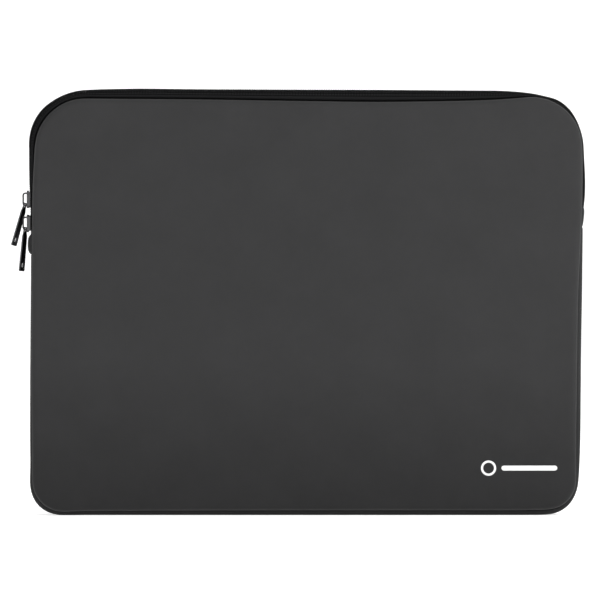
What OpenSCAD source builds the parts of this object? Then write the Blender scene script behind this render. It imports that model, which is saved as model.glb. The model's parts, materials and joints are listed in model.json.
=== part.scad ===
// Padded neoprene laptop sleeve. Two knit-faced foam panels, joined by a closed seam round the
// lower part and by a coil zip with two sliders round the upper part.
// Upright: front panel towards -Y, bottom edge on the plane Z = 0, sliders on the -X side.

/* [Sleeve] */
// Width over the zip
sleeve_w = 380; // [340:1:430]
// Height from the bottom edge to the crest of the zip
sleeve_h = 291; // [275:1:330]
// Thickness with a laptop inside
sleeve_t = 26; // [25:0.5:34]
// Outline radius of the top corners
top_corner_r = 39; // [34:1:45]
// Outline radius of the bottom corners
bottom_corner_r = 24; // [20:1:32]
// Radius of the rolled edge round each panel
edge_r = 5; // [5:0.1:5.6]

/* [Layers] */
// Thickness of the knit face
knit_t = 0.6; // [0.4:0.1:0.8]
// Thickness of the neoprene foam
foam_t = 3; // [2:0.1:3.3]
// Thickness of the lining
lining_t = 0.5; // [0.3:0.1:0.6]

/* [Zip] */
// Height of the zip's left end
zip_left_h = 179; // [150:1:186]
// Height of the zip's right end
zip_right_h = 197; // [150:1:205]
// Inset of the front panel from the crest of the zip
front_inset = 4.4; // [4.2:0.1:5]
// How far the back panel stands out past the front panel
back_proud = 3.1; // [2.9:0.1:3.3]
// Depth of the closed seam in front of the middle plane
seam_z = 6; // [5:0.5:6.5]
// Gap between the two coils, in which the sliders' necks run
coil_gap = 1.5; // [1.4:0.1:1.8]

/* [Sliders and pulls] */
// Length of a slider
slider_l = 12; // [11:0.5:13]
// Distance between the centres of the two sliders
slider_pitch = 16.5; // [16:0.5:18]
// Length of a pull from its pivot to its tip
pull_l = 30; // [24:1:34]
// Width of a pull at its lower end
pull_w = 7.4; // [6.4:0.2:8]
// Tilt of the upper pull, which leans on the lower crown
upper_tilt = 15.5; // [15:0.5:25]
// Tilt of the lower pull, which leans on the end tab
lower_tilt = 5; // [5:0.5:12]
// Turn of each pull about its own length
pull_turn = 20; // [0:1:20]

/* [Printed mark] */
// Width of the print on the front panel
mark_w = 52; // [40:1:60]

/* [Hidden] */
$fn = 96;

// Small gaps between pieces that are sewn or bonded to each other
sewn_gap = 0.05;
// Cuts between a sheet's flat face and the stretches of its edge, so that each is a simple shape
hair = 0.04;
// Gap along the fold between the flap and the lower front panel
fold_gap = 0.4;
// Larger than the sleeve in every direction
big = 1000;

// The panels. A profile has two coordinates: u, outwards from the front panel's outline, and z,
// forwards from the middle plane.
half_t = sleeve_t / 2;
wall_t = knit_t + foam_t + lining_t;
half_w = sleeve_w / 2 - front_inset;
panel_top = sleeve_h - front_inset;
panel_bottom = back_proud;
top_r = top_corner_r - front_inset;
bottom_r = bottom_corner_r - back_proud;
top_cx = half_w - top_r;
top_cy = panel_top - top_r;
bottom_cx = half_w - bottom_r;
bottom_cy = panel_bottom + bottom_r;
zip_rim = half_t - edge_r - 0.5;

// The fold, along the outer face of the front panel
fold_left_h = top_cy + 2;
fold_right_h = zip_right_h + 19;
fold_tilt = atan2(fold_right_h - fold_left_h, sleeve_w);

// The zip's cross-section
coil_h = 2.2;
coil_out = front_inset;
coil_in = coil_out - coil_h;
coil_near = coil_gap / 2;
coil_far = coil_near + 1.8;
coil_chamfer = 0.4;
tape_t = 0.5;
tape_out = coil_out - 1.4;
tape_in = tape_out - tape_t;
tape_flat = coil_far + 2.85;
allowance = zip_rim - sewn_gap;

// The bindings over the raw edges inside, and their stitching
binding_w = 2;
binding_t = 2;
thread_t = 0.4;

// The end tabs and stops
tab_l = 10.4;
tab_start = 0.3;
stop_start = tab_l + 0.2;
stop_l = 1.6;

// The sliders. The gaps clear the chain and the tapes.
slider_lower_y = zip_left_h + 20.5;
slider_upper_y = slider_lower_y + slider_pitch;
slider_head_w = 9.4;
slider_tail_w = 9;
plate_t = 1;
chain_gap = 0.4;
channel_w = 8;
channel_in = coil_in - chain_gap;
channel_out = coil_out + chain_gap;
slider_out = channel_out + plate_t;
neck_w = coil_gap - 0.66;
neck_l = 2.8;

// The crowns. Each is a bent wire, and the pull's eye rides round the centre of its lower bend.
crown_l = 9.5;
crown_rise = 3.3;
crown_w = 1.2;
crown_wire = 1;
bend_r = 2;
bend_u = slider_out + crown_rise - bend_r;
bend_y = crown_l / 2 - bend_r;

// The pulls
pull_t = 0.94;
eye_w = 3.8;
eye_slot_w = 2.3;
eye_bar = 0.4;
eye_slot_start = 0.5;
eye_slot_end = 2.7;
eye_l = 3.4;
blade_start = 6;
blade_w = 6;
pull_corner = 0.8;
pull_hole_r = 1.15;
pull_hole_l = 4.2;
pull_hole_end = pull_l - 2;
pull_border = 1;
pull_recess = 0.12;
pull_recess_start = blade_start + 1.6;
pull_recess_end = pull_l - 7.6;

// The printed mark, a ring and a bar
mark_x = 144.5;
mark_y = 32.7;
mark_t = 0.1;
ring_r = 5.2;
ring_line = 1.5;
bar_h = 3.4;
bar_gap = 3.6;

charcoal = [0.07, 0.07, 0.075];
black = [0.02, 0.02, 0.022];
gunmetal = [0.3, 0.3, 0.32];

// Stands the sleeve up: the plan's Y becomes Z, and its Z faces forwards, towards -Y
module upright() {
    rotate([90, 0, 0]) children();
}

// The front panel's outline, grown outwards by u
module outline(u) {
    for (side = [-1, 1]) {
        translate([side * top_cx, top_cy]) circle(top_r + u);
        translate([side * bottom_cx, bottom_cy]) circle(bottom_r + u);
    }
    translate([-half_w - u, bottom_cy]) square([2 * (half_w + u), top_cy - bottom_cy]);
    translate([-top_cx, bottom_cy]) square([2 * top_cx, panel_top + u - bottom_cy]);
    translate([-bottom_cx, panel_bottom - u]) square([2 * bottom_cx, top_cy - panel_bottom + u]);
}

// Carries a profile along a straight stretch, with u to the right and the stretch running down.
// A cut, half of it at each end, parts the stretch from its neighbours.
module stretch(length, cut = 0) {
    rotate([90, 0, 0]) translate([0, 0, cut / 2]) linear_extrude(length - cut) children();
}

// Carries a profile a quarter turn round a corner of radius r, in two halves if it is cut
module bend(r, cut = 0) {
    if (cut == 0) {
        rotate_extrude(angle = 90) translate([r, 0]) children();
    } else {
        cut_angle = cut / r * 180 / PI;
        for (start = [0, 45]) {
            rotate(start + cut_angle / 2) rotate_extrude(angle = 45 - cut_angle)
                translate([r, 0]) children();
        }
    }
}

// The path of the zip: up the left side, over the top and down the right side
module zip_path(cut = 0) {
    translate([-half_w, zip_left_h]) rotate(180) stretch(top_cy - zip_left_h, cut) children();
    translate([-top_cx, top_cy]) rotate(90) bend(top_r, cut) children();
    translate([-top_cx, panel_top]) rotate(90) stretch(2 * top_cx, cut) children();
    translate([top_cx, top_cy]) bend(top_r, cut) children();
    translate([half_w, top_cy]) stretch(top_cy - zip_right_h, cut) children();
}

// The path of the closed seam: down the right side, along the bottom and up the left side
module seam_path(cut = 0) {
    translate([half_w, zip_right_h]) stretch(zip_right_h - bottom_cy, cut) children();
    translate([bottom_cx, bottom_cy]) rotate(270) bend(bottom_r, cut) children();
    translate([bottom_cx, panel_bottom]) rotate(270) stretch(2 * bottom_cx, cut) children();
    translate([-bottom_cx, bottom_cy]) rotate(180) bend(bottom_r, cut) children();
    translate([-half_w, bottom_cy]) rotate(180) stretch(zip_left_h - bottom_cy, cut) children();
}

// One layer's rolled edge and rim. The layer lies between two depths below the outer surface,
// and its rim ends at height rim_end.
module edge_profile(u, depth, inner_depth, rim_end) {
    translate([u - edge_r, half_t - edge_r]) intersection() {
        difference() {
            circle(edge_r - depth);
            circle(edge_r - inner_depth);
        }
        square(edge_r);
    }
    translate([u - inner_depth, rim_end])
        square([inner_depth - depth, half_t - edge_r - rim_end]);
}

// One layer of a panel: its face and its edge all round
module layer(u, depth, thickness, seam_end, cut) {
    inner_depth = depth + thickness;
    translate([0, 0, half_t - inner_depth]) linear_extrude(thickness) outline(u - edge_r - cut);
    zip_path(cut) edge_profile(u, depth, inner_depth, zip_rim);
    seam_path(cut) edge_profile(u, depth, inner_depth, seam_end);
}

// A layer of the front panel, whose rim stops just in front of the closed seam
module front_layer(depth, thickness, cut = 0) {
    layer(0, depth, thickness, seam_z + sewn_gap, cut);
}

// A layer of the back panel, whose rim reaches forwards past the middle plane to the seam
module back_layer(depth, thickness, cut = 0) {
    mirror([0, 0, 1]) layer(back_proud, depth, thickness, sewn_gap - seam_z, cut);
}

// Everything beyond the fold
module beyond_fold(offset) {
    translate([0, (fold_left_h + fold_right_h) / 2]) rotate(fold_tilt)
        translate([-big / 2, offset, -big / 2]) cube(big);
}

// The part of the front that turns about the fold
module flap_part() {
    intersection() {
        children();
        beyond_fold(fold_gap / 2);
    }
}

// The part of the front that stays with the back panel
module fixed_part() {
    difference() {
        children();
        beyond_fold(-fold_gap / 2);
    }
}

module back_outer_knit() {
    color(charcoal) upright() back_layer(0, knit_t, hair);
}

module back_foam() {
    color(black) upright() back_layer(knit_t, foam_t, hair);
}

module back_lining() {
    color(charcoal) upright() back_layer(knit_t + foam_t, lining_t);
}

module front_outer_knit_lower() {
    color(charcoal) upright() fixed_part() front_layer(0, knit_t, hair);
}

module front_foam_lower() {
    color(black) upright() fixed_part() front_layer(knit_t, foam_t, hair);
}

module front_lining_lower() {
    color(charcoal) upright() fixed_part() front_layer(knit_t + foam_t, lining_t);
}

module front_outer_knit_flap() {
    color(charcoal) upright() flap_part() front_layer(0, knit_t);
}

module front_foam_flap() {
    color(black) upright() flap_part() front_layer(knit_t, foam_t, hair);
}

module front_lining_flap() {
    color(charcoal) upright() flap_part() front_layer(knit_t + foam_t, lining_t);
}

// The front tape slopes down from the coil to the smaller front panel, then turns inwards
module front_tape() {
    zip_path(hair) polygon([
        [tape_out, coil_far], [tape_out, tape_flat], [0.4, allowance], [-wall_t, allowance],
        [-wall_t, allowance - tape_t], [0.05, allowance - tape_t],
        [tape_in, tape_flat - 0.35], [tape_in, coil_far]
    ]);
}

// The back tape runs level to the back panel, then turns inwards
module back_tape() {
    inner = back_proud - wall_t;
    mirror([0, 0, 1]) zip_path(hair) polygon([
        [tape_out, coil_far], [tape_out, allowance], [inner, allowance],
        [inner, allowance - tape_t], [tape_in, allowance - tape_t], [tape_in, coil_far]
    ]);
}

module coil() {
    zip_path() polygon([
        [coil_in, coil_near + coil_chamfer], [coil_in + coil_chamfer, coil_near],
        [coil_out - coil_chamfer, coil_near], [coil_out, coil_near + coil_chamfer],
        [coil_out, coil_far - coil_chamfer], [coil_out - coil_chamfer, coil_far],
        [coil_in, coil_far]
    ]);
}

module zip_tape_back() {
    color(black) upright() back_tape();
}

module zip_tape_front_ends() {
    color(black) upright() fixed_part() front_tape();
}

module zip_tape_front_flap() {
    color(black) upright() flap_part() front_tape();
}

module zip_coil_back() {
    color(black) upright() mirror([0, 0, 1]) coil();
}

module zip_coil_front_ends() {
    color(black) upright() fixed_part() coil();
}

module zip_coil_front_flap() {
    color(black) upright() flap_part() coil();
}

// A stop: a bar across both coils, with a tongue in the gap between them
module zip_stop() {
    stretch(stop_l) {
        translate([coil_out + sewn_gap, -coil_far]) square([0.55, 2 * coil_far]);
        translate([coil_in, -coil_near + 0.25]) square([coil_h + 0.1, 2 * coil_near - 0.5]);
    }
}

// A fabric tab folded over the end of the zip. It lies on the coils, on the front tape's slope and
// on the level back tape.
module zip_end_tab() {
    over_tape = tape_out + 0.1;
    over_coil = coil_out + 0.1;
    front_foot = [tape_out - 1.9, zip_rim - 0.5];
    back_foot = [over_tape, 0.1 - zip_rim];
    stretch(tab_l - tab_start) polygon([
        front_foot, [tape_out - 1, zip_rim - 0.2], [tape_out + 1.2, tape_flat + 0.2],
        [over_coil + 0.8, 3.2], [over_coil + 0.8, -3.2], [tape_out + 1.4, -tape_flat - 0.6],
        [tape_out + 0.6, 0.1 - zip_rim], back_foot, [over_tape, -coil_far - 0.55],
        [over_coil, -coil_far - 0.35], [over_coil, coil_far + 0.35],
        [over_tape, coil_far + 0.55], [over_tape, tape_flat + 0.1]
    ]);
}

module zip_stop_left() {
    color(gunmetal) upright() translate([-half_w, zip_left_h + stop_start])
        rotate(180) zip_stop();
}

module zip_stop_right() {
    color(gunmetal) upright() translate([half_w, zip_right_h + stop_start + stop_l]) zip_stop();
}

module zip_end_tab_left() {
    color(black) upright() translate([-half_w, zip_left_h + tab_start]) rotate(180) zip_end_tab();
}

module zip_end_tab_right() {
    color(black) upright() translate([half_w, zip_right_h + tab_l]) zip_end_tab();
}

// A folded tape over the raw edges, on the inner side of a rim whose lining is at u
module zip_binding(u) {
    zip_path() translate([u - sewn_gap - binding_t, zip_rim - 1.5])
        square([binding_t, binding_w]);
}

module zip_stitching(u) {
    zip_path() translate([u - sewn_gap - binding_t - thread_t, zip_rim - 0.4])
        square(thread_t);
}

module seam_binding_lower() {
    color(black) upright() seam_path()
        translate([-wall_t - binding_t, seam_z - sewn_gap - binding_w])
            square([back_proud + binding_t - sewn_gap, binding_w]);
}

module zip_binding_back() {
    color(black) upright() mirror([0, 0, 1]) zip_binding(back_proud - wall_t);
}

module zip_binding_front_ends() {
    color(black) upright() fixed_part() zip_binding(-wall_t);
}

module zip_binding_front_flap() {
    color(black) upright() flap_part() zip_binding(-wall_t);
}

module seam_stitching_lower() {
    color(charcoal) upright() seam_path()
        translate([-wall_t, seam_z - sewn_gap - binding_w - thread_t]) square(thread_t);
}

module zip_stitching_back() {
    color(charcoal) upright() mirror([0, 0, 1]) zip_stitching(back_proud - wall_t);
}

module zip_stitching_front_ends() {
    color(charcoal) upright() fixed_part() zip_stitching(-wall_t);
}

module zip_stitching_front_flap() {
    color(charcoal) upright() flap_part() zip_stitching(-wall_t);
}

// A ring followed by a round-ended bar, printed on the front face
module printed_mark() {
    bar_start = -mark_w / 2 + 2 * ring_r + bar_gap + bar_h / 2;
    bar_end = mark_w / 2 - bar_h / 2;
    color("white") upright() translate([mark_x, mark_y, half_t]) linear_extrude(mark_t) {
        translate([-mark_w / 2 + ring_r, 0]) difference() {
            circle(ring_r);
            circle(ring_r - ring_line);
        }
        translate([bar_start, -bar_h / 2]) square([bar_end - bar_start, bar_h]);
        translate([bar_start, 0]) circle(bar_h / 2);
        translate([bar_end, 0]) circle(bar_h / 2);
    }
}

// Places a piece on the zip's left run, with X outwards, Y up and Z forwards
module on_left_run(y) {
    upright() translate([-half_w, y]) mirror([1, 0, 0]) children();
}

// A slider's outline seen from outside, wider at its head, with cut corners
module slider_outline() {
    cut = 1.6;
    tail = slider_tail_w / 2;
    head = slider_head_w / 2;
    end = slider_l / 2;
    polygon([
        [cut - tail, -end], [tail - cut, -end], [tail, cut - end], [head, end - cut],
        [head - cut, end], [cut - head, end], [-head, end - cut], [-tail, cut - end]
    ]);
}

// Extrudes an outline outwards from the plane at u
module outwards(u, height) {
    translate([u, 0]) rotate([0, 90, 0]) linear_extrude(height) children();
}

// A slider's body with its head at +Y: two plates with lips, joined by a neck at the head
module slider_body() {
    neck_y = slider_l / 2 - neck_l - 0.4;
    difference() {
        outwards(channel_in - plate_t, slider_out - channel_in + plate_t) slider_outline();
        translate([channel_in, -slider_l, -channel_w / 2])
            cube([channel_out - channel_in, 2 * slider_l, channel_w]);
        translate([tape_in - chain_gap, -slider_l, -slider_head_w])
            cube([tape_t + 2 * chain_gap, 2 * slider_l, 2 * slider_head_w]);
    }
    outwards(channel_in, channel_out - channel_in) polygon([
        [0, neck_y], [neck_w / 2, neck_y + neck_l / 3], [neck_w / 2, neck_y + neck_l],
        [-neck_w / 2, neck_y + neck_l], [-neck_w / 2, neck_y + neck_l / 3]
    ]);
}

// The crown's outline down to the slider's plate, with its two bends at radius r
module crown_outline(r) {
    for (side = [-1, 1]) {
        translate([bend_u, side * bend_y]) circle(r);
    }
    translate([bend_u, -bend_y]) square([r, 2 * bend_y]);
    translate([slider_out - bend_r, -bend_y - r])
        square([bend_u - slider_out + bend_r, 2 * (bend_y + r)]);
}

// The bent wire that holds the pull's eye
module slider_crown() {
    translate([0, 0, -crown_w / 2]) linear_extrude(crown_w) difference() {
        crown_outline(bend_r);
        crown_outline(bend_r - crown_wire);
        translate([slider_out - big, -big / 2]) square([big, big]);
    }
}

// The pull's flat sheet: a narrow eye that flares into the blade, with a square end
module pull_sheet() {
    side = pull_w / 2;
    linear_extrude(pull_t) polygon([
        [-eye_w / 2, -eye_l], [-eye_w / 2, 0], [eye_bar - eye_w / 2, eye_bar],
        [eye_w / 2 - eye_bar, eye_bar], [eye_w / 2, 0], [eye_w / 2, -eye_l],
        [blade_w / 2, -blade_start], [side, pull_corner - pull_l],
        [side - pull_corner, -pull_l], [pull_corner - side, -pull_l],
        [-side, pull_corner - pull_l], [-blade_w / 2, -blade_start]
    ]);
}

// The eye's slot and the oblong hole near the end
module pull_holes() {
    deep = 3 * pull_t;
    hole_low = pull_hole_r - pull_hole_end;
    hole_high = pull_hole_l - pull_hole_r - pull_hole_end;
    translate([-eye_slot_w / 2, -eye_slot_end, -pull_t])
        cube([eye_slot_w, eye_slot_end - eye_slot_start, deep]);
    translate([0, hole_low, -pull_t]) cylinder(h = deep, r = pull_hole_r);
    translate([0, hole_high, -pull_t]) cylinder(h = deep, r = pull_hole_r);
    translate([-pull_hole_r, hole_low, -pull_t])
        cube([2 * pull_hole_r, hole_high - hole_low, deep]);
}

// A shallow panel sunk into each face of the blade, inside a border
module pull_recesses() {
    start_w = blade_w / 2 - pull_border;
    end_w = pull_w / 2 - pull_border;
    for (z = [-pull_t, pull_t - pull_recess]) {
        translate([0, 0, z]) linear_extrude(z < 0 ? pull_t + pull_recess : pull_t) polygon([
            [-start_w, -pull_recess_start], [start_w, -pull_recess_start],
            [end_w, -pull_recess_end], [-end_w, -pull_recess_end]
        ]);
    }
}

// A flat pull that hangs from its eye, tilted outwards and turned about its length
module pull(tilt) {
    translate([bend_u, -bend_y]) rotate(tilt) rotate([0, 90 + pull_turn, 0])
        translate([0, 0, -pull_t / 2]) difference() {
            pull_sheet();
            pull_holes();
            pull_recesses();
        }
}

module slider_upper_body() {
    color(gunmetal) on_left_run(slider_upper_y) mirror([0, 1, 0]) slider_body();
}

module slider_upper_crown() {
    color(gunmetal) on_left_run(slider_upper_y) slider_crown();
}

module pull_upper() {
    color(black) on_left_run(slider_upper_y) pull(upper_tilt);
}

module slider_lower_body() {
    color(gunmetal) on_left_run(slider_lower_y) slider_body();
}

module slider_lower_crown() {
    color(gunmetal) on_left_run(slider_lower_y) slider_crown();
}

module pull_lower() {
    color(black) on_left_run(slider_lower_y) pull(lower_tilt);
}

back_outer_knit();
back_foam();
back_lining();
front_outer_knit_lower();
front_foam_lower();
front_lining_lower();
front_outer_knit_flap();
front_foam_flap();
front_lining_flap();
zip_tape_back();
zip_tape_front_ends();
zip_tape_front_flap();
zip_coil_back();
zip_coil_front_ends();
zip_coil_front_flap();
zip_stop_left();
zip_stop_right();
zip_end_tab_left();
zip_end_tab_right();
seam_binding_lower();
zip_binding_back();
zip_binding_front_ends();
zip_binding_front_flap();
seam_stitching_lower();
zip_stitching_back();
zip_stitching_front_ends();
zip_stitching_front_flap();
printed_mark();
slider_upper_body();
slider_upper_crown();
pull_upper();
slider_lower_body();
slider_lower_crown();
pull_lower();
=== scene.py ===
"""Looks of a neoprene laptop sleeve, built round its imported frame.

Lengths are in millimetres until a mesh is made. A place on the sleeve's edge is given by the
distance run along the front panel's outline from the middle of the bottom, up the left side, over
the top and down the right side. There, u runs outwards from that outline, and h runs away from the
middle plane, forwards in front and backwards behind.
"""

import json
import math

import bpy
import numpy as np
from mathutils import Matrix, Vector


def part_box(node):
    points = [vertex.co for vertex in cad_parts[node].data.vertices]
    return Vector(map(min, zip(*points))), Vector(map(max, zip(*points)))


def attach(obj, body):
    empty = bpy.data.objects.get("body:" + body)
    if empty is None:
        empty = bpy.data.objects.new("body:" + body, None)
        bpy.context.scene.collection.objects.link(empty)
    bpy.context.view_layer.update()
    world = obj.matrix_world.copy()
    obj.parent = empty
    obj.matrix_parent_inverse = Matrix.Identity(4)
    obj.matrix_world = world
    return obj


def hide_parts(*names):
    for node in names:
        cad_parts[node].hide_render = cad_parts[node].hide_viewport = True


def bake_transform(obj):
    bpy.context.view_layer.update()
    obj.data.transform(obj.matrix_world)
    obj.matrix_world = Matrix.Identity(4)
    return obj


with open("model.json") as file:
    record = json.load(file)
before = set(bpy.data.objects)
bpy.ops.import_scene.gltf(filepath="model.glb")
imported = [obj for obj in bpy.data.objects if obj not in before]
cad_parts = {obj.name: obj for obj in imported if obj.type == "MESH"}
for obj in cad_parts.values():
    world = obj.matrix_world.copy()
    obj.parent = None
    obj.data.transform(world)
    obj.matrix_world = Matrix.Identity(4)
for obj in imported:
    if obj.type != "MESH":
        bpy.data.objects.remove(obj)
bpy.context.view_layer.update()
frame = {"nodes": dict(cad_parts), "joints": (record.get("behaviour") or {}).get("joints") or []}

MM = 0.001
FRONT, BACK = -1, 1


def box_mm(node):
    """A node's box in millimetres."""
    low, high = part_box(node)
    return np.array(low) / MM, np.array(high) / MM


# ---------------------------------------------------------------- the outline and the zip, from the frame

KNIT_LOW, KNIT_HIGH = box_mm("front_outer_knit_lower")
BACK_HIGH = box_mm("back_outer_knit")[1]

HALF_W = KNIT_HIGH[0]
PANEL_BOTTOM = KNIT_LOW[2]
PANEL_TOP = box_mm("front_outer_knit_flap")[1][2]
TOP_R = 34.6
BOTTOM_R = 20.9
HALF_T = BACK_HIGH[1]
PAD = HALF_W - box_mm("front_lining_lower")[1][0]
LINING = 0.5
BACK_PROUD = BACK_HIGH[0] - HALF_W
COIL_OUT = box_mm("zip_coil_back")[1][0] - HALF_W
ZIP_LEFT_Z = box_mm("zip_end_tab_left")[0][2] - 0.3
ZIP_RIGHT_Z = box_mm("zip_end_tab_right")[0][2]
ZIP_RIM = 7.45
SEAM_H = 6.0


class Outline:
    """The front panel's outline as straight runs and round corners."""

    def __init__(self):
        self.top_cx, self.top_cz = HALF_W - TOP_R, PANEL_TOP - TOP_R
        self.low_cx, self.low_cz = HALF_W - BOTTOM_R, PANEL_BOTTOM + BOTTOM_R
        side = self.top_cz - self.low_cz
        quarter = math.pi / 2
        self.parts = [
            ("line", self.low_cx, (0, PANEL_BOTTOM), (-1, 0)),
            ("arc", BOTTOM_R * quarter, (-self.low_cx, self.low_cz), -quarter),
            ("line", side, (-HALF_W, self.low_cz), (0, 1)),
            ("arc", TOP_R * quarter, (-self.top_cx, self.top_cz), 2 * quarter),
            ("line", 2 * self.top_cx, (-self.top_cx, PANEL_TOP), (1, 0)),
            ("arc", TOP_R * quarter, (self.top_cx, self.top_cz), quarter),
            ("line", side, (HALF_W, self.top_cz), (0, -1)),
            ("arc", BOTTOM_R * quarter, (self.low_cx, self.low_cz), 0),
            ("line", self.low_cx, (self.low_cx, PANEL_BOTTOM), (-1, 0)),
        ]
        self.starts = np.concatenate([[0], np.cumsum([p[1] for p in self.parts])])
        self.length = self.starts[-1]

    def at(self, run):
        """Points and outward directions at the given runs."""
        run = np.mod(np.asarray(run, float), self.length)
        place, out = np.zeros((len(run), 2)), np.zeros((len(run), 2))
        for (kind, length, origin, way), start in zip(self.parts, self.starts):
            here = (run >= start - 1e-9) & (run <= start + length + 1e-9)
            t = run[here] - start
            if kind == "line":
                place[here] = np.array(origin) + t[:, None] * np.array(way, float)
                out[here] = np.array([-way[1], way[0]], float)
            else:
                radius = length / (math.pi / 2)
                angle = way - t / radius
                out[here] = np.stack([np.cos(angle), np.sin(angle)], 1)
                place[here] = np.array(origin) + radius * out[here]
        return place, out

    def left(self, z):
        """The run at height z on the left side."""
        return self.starts[2] + z - self.low_cz

    def right(self, z):
        """The run at height z on the right side."""
        return self.starts[6] + self.top_cz - z

    def over_top(self, x):
        """The run at x on the top."""
        return self.starts[4] + x + self.top_cx


OUTLINE = Outline()
ZIP_START, ZIP_END = OUTLINE.left(ZIP_LEFT_Z), OUTLINE.right(ZIP_RIGHT_Z)


def eased(knots, width=9.0):
    """A smooth function of the run near the given (run, offset) pairs, closed round the outline."""
    runs = np.array([k[0] for k in knots], float)
    values = np.array([k[1] for k in knots], float)
    length = OUTLINE.length
    runs = np.concatenate([runs - length, runs, runs + length])
    values = np.tile(values, 3)
    fine = np.arange(-length / 2, 1.5 * length, width / 3)
    linear = np.interp(fine, runs, values)
    reach = np.arange(-10, 11) * width / 3
    kernel = np.exp(-((reach / width) ** 2) / 2)
    smooth = np.convolve(linear, kernel / kernel.sum(), "same")

    def offset(run):
        return np.interp(np.mod(np.asarray(run, float), length), fine, smooth)

    return offset


# How far each panel's sewn edge stands from the outline. The front panel sits a little to the left
# at the bottom and to the right at the top, and its top edge sags between the corners
front_ease = eased(
    [
        (0, -0.6),
        (OUTLINE.starts[1] - 8, -0.3),
        (OUTLINE.starts[1] + 18, 2.2),
        (OUTLINE.starts[2] + 4, 1.8),
        (OUTLINE.starts[2] + 20, 1.6),
        (OUTLINE.left(90), 2.4),
        (OUTLINE.left(172), 2.1),
        (OUTLINE.left(222), 1.6),
        (OUTLINE.left(243), 0.5),
        (OUTLINE.starts[3] + 20, -1.5),
        (OUTLINE.over_top(-141), -2.2),
        (OUTLINE.over_top(-73), -2.7),
        (OUTLINE.over_top(-5), -3.8),
        (OUTLINE.over_top(48), -4.5),
        (OUTLINE.over_top(98), -3.9),
        (OUTLINE.over_top(132), -2.9),
        (OUTLINE.starts[5] + 14, 0.1),
        (OUTLINE.starts[5] + 36, 2.0),
        (OUTLINE.right(240), 2.7),
        (OUTLINE.right(215), 2.5),
        (OUTLINE.right(188), 1.3),
        (OUTLINE.right(150), -0.6),
        (OUTLINE.right(100), -1.3),
        (OUTLINE.right(40), -1.9),
        (OUTLINE.starts[7] + 16, -1.4),
        (OUTLINE.starts[8] + 20, -0.6),
    ]
)
back_ease = eased(
    [
        (0, 0.0),
        (OUTLINE.starts[1] - 4, 0.0),
        (OUTLINE.starts[1] + 7, 0.9),
        (OUTLINE.starts[1] + 17, 3.0),
        (OUTLINE.starts[2] - 4, 1.0),
        (OUTLINE.starts[2] + 8, 0.35),
        (OUTLINE.left(50), 0.65),
        (OUTLINE.left(90), 0.6),
        (OUTLINE.left(165), 0.0),
        (OUTLINE.left(240), -0.2),
        (OUTLINE.over_top(110), -0.2),
        (OUTLINE.starts[5], -1.6),
        (OUTLINE.starts[5] + 14, -1.9),
        (OUTLINE.starts[5] + 30, -0.3),
        (OUTLINE.right(215), 0.1),
        (OUTLINE.right(200), 0.3),
        (OUTLINE.right(150), -0.3),
        (OUTLINE.right(110), -1.0),
        (OUTLINE.right(58), -1.3),
        (OUTLINE.right(36), -1.9),
        (OUTLINE.starts[7] + 6, -3.0),
        (OUTLINE.starts[7] + 20, -0.8),
        (OUTLINE.starts[8] - 4, -0.1),
        (OUTLINE.starts[8] + 20, 0.0),
    ],
    width=5.0,
)


# How far the chain stands from its straight path. It sinks towards each end of the zip and is a
# little kinked before the far corner
chain_ease = eased(
    [
        (ZIP_START, -1.3),
        (OUTLINE.left(207), -0.95),
        (OUTLINE.left(216), -0.7),
        (OUTLINE.left(226), -0.05),
        (OUTLINE.left(236), 0.1),
        (OUTLINE.starts[3], 0.15),
        (OUTLINE.starts[3] + 10, 0.75),
        (OUTLINE.starts[3] + 24, 0.8),
        (OUTLINE.starts[3] + 34, -0.2),
        (OUTLINE.starts[3] + 48, -0.3),
        (OUTLINE.over_top(-141), 0.45),
        (OUTLINE.over_top(-114), 0.9),
        (OUTLINE.over_top(-73), 0.45),
        (OUTLINE.over_top(-5), 0.2),
        (OUTLINE.over_top(50), 0.05),
        (OUTLINE.over_top(98), -0.3),
        (OUTLINE.over_top(132), -0.5),
        (OUTLINE.over_top(144), -1.2),
        (OUTLINE.starts[5] + 4, -2.5),
        (OUTLINE.starts[5] + 12, -2.5),
        (OUTLINE.starts[5] + 20, -0.5),
        (OUTLINE.starts[5] + 29, -0.2),
        (OUTLINE.starts[5] + 44, -0.8),
        (OUTLINE.right(243), 0.1),
        (OUTLINE.right(232), 0.7),
        (OUTLINE.right(222), 0.75),
        (OUTLINE.right(213), 0.1),
        (OUTLINE.right(209.5), -0.35),
        (OUTLINE.right(206), -1.0),
        (ZIP_END, -1.5),
    ],
    width=3.0,
)


def edge_u(side, run):
    """How far out a panel's sewn edge stands at the given runs."""
    return front_ease(run) if side == FRONT else BACK_PROUD + back_ease(run)


def smoothstep(t):
    t = np.clip(t, 0, 1)
    return t * t * (3 - 2 * t)


def in_zip(run, soft=1.0):
    """1 along the zip and 0 along the closed seam, changing over a length of twice soft at each end."""
    run = np.mod(np.asarray(run, float), OUTLINE.length)
    after_start = smoothstep((run - ZIP_START + soft) / (2 * soft))
    before_end = smoothstep((ZIP_END + soft - run) / (2 * soft))
    return after_start * before_end


# ---------------------------------------------------------------- meshes


def make_mesh(name, points, faces, uv=None, levels=0):
    """An object from points in millimetres, with its UV map in millimetres and its subdivision applied."""
    mesh = bpy.data.meshes.new(name)
    mesh.from_pydata((np.asarray(points) * MM).tolist(), [], faces)
    mesh.validate()
    if uv is not None:
        layer = mesh.uv_layers.new(name="flow")
        corner = np.zeros(len(mesh.loops), np.int32)
        mesh.loops.foreach_get("vertex_index", corner)
        layer.data.foreach_set("uv", np.asarray(uv, np.float32)[corner].ravel())
    mesh.shade_smooth()
    obj = bpy.data.objects.new(name, mesh)
    bpy.context.scene.collection.objects.link(obj)
    if levels:
        modifier = obj.modifiers.new("smooth", "SUBSURF")
        modifier.levels = modifier.render_levels = levels
        apply_modifiers(obj)
    return obj


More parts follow.
